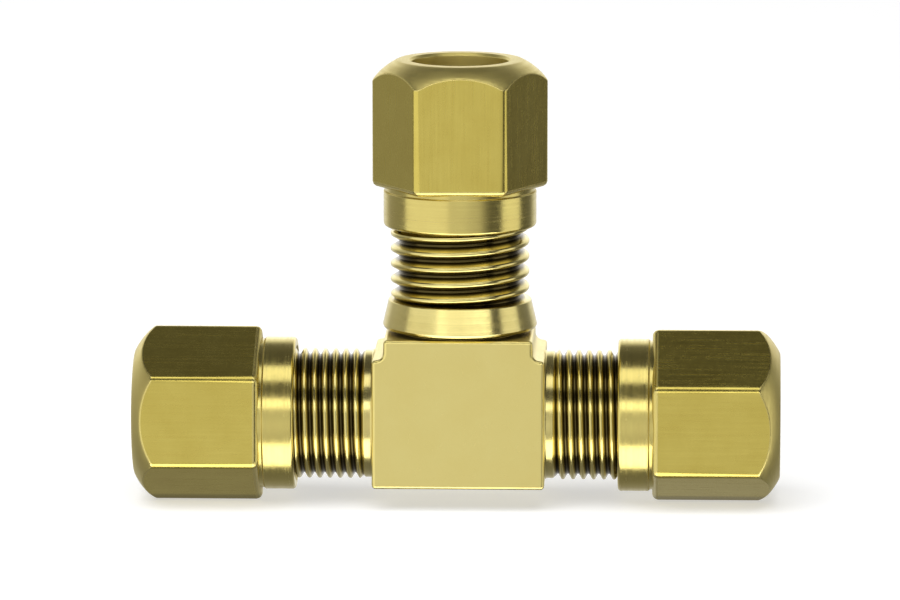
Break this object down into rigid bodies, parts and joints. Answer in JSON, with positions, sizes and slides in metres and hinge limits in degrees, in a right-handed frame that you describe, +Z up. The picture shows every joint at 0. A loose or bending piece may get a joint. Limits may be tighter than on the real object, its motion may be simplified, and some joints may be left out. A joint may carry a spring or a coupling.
{
  "type": "compression fitting",
  "caption": "Union tee compression fitting for plastic air tube: flat-faced T block with threaded stubs, long skirted hexagon nuts, tapered sleeves and flanged tube supports.",
  "frame": {"origin": "the point inside the block where the axes of the three tubes cross", "axes": "+X along the run towards the right nut, +Y from the front face to the back face, +Z up the branch towards the branch nut"},
  "size_m": [0.0666, 0.0164, 0.0461],
  "materials": {
    "body_brass": "satin machined brass",
    "nut_brass": "bright drawn brass with turned ends",
    "sleeve_brass": "turned brass",
    "support_brass": "thin drawn brass"
  },
  "bodies": {
    "tee_body": {"tee_body": "body_brass"},
    "left_sleeve": {"left_sleeve": "sleeve_brass"},
    "left_nut": {"left_nut": "nut_brass"},
    "left_tube_support": {"left_tube_support": "support_brass"},
    "right_sleeve": {"right_sleeve": "sleeve_brass"},
    "right_nut": {"right_nut": "nut_brass"},
    "right_tube_support": {"right_tube_support": "support_brass"},
    "branch_sleeve": {"branch_sleeve": "sleeve_brass"},
    "branch_nut": {"branch_nut": "nut_brass"},
    "branch_tube_support": {"branch_tube_support": "support_brass"}
  },
  "joints": [
    {"name": "left_nut_travel", "type": "slide", "parent": "tee_body", "child": "left_sleeve", "axis": [-1, 0, 0], "range_m": [-0.00133, 0.00636]},
    {"name": "left_nut_turn", "type": "hinge", "parent": "left_sleeve", "child": "left_nut", "pos_m": [0, 0, 0], "axis": [-1, 0, 0], "range_deg": [-450, 2160]},
    {"name": "left_support_slide", "type": "slide", "parent": "tee_body", "child": "left_tube_support", "axis": [-1, 0, 0], "range_m": [0, 0.022]},
    {"name": "right_nut_travel", "type": "slide", "parent": "tee_body", "child": "right_sleeve", "axis": [1, 0, 0], "range_m": [-0.00094, 0.00636]},
    {"name": "right_nut_turn", "type": "hinge", "parent": "right_sleeve", "child": "right_nut", "pos_m": [0, 0, 0], "axis": [1, 0, 0], "range_deg": [-315, 2160]},
    {"name": "right_support_slide", "type": "slide", "parent": "tee_body", "child": "right_tube_support", "axis": [1, 0, 0], "range_m": [0, 0.022]},
    {"name": "branch_nut_travel", "type": "slide", "parent": "tee_body", "child": "branch_sleeve", "axis": [0, 0, 1], "range_m": [-0.00107, 0.00636]},
    {"name": "branch_nut_turn", "type": "hinge", "parent": "branch_sleeve", "child": "branch_nut", "pos_m": [0, 0, 0], "axis": [0, 0, 1], "range_deg": [-240, 1440]},
    {"name": "branch_support_slide", "type": "slide", "parent": "tee_body", "child": "branch_tube_support", "axis": [0, 0, 1], "range_m": [0, 0.022]}
  ],
  "couplings": [
    {"joint": "left_nut_travel", "follows": "left_nut_turn", "m_per_rad": 0.00016839},
    {"joint": "right_nut_travel", "follows": "right_nut_turn", "m_per_rad": 0.00016839},
    {"joint": "branch_nut_travel", "follows": "branch_nut_turn", "m_per_rad": 0.00025274}
  ]
}
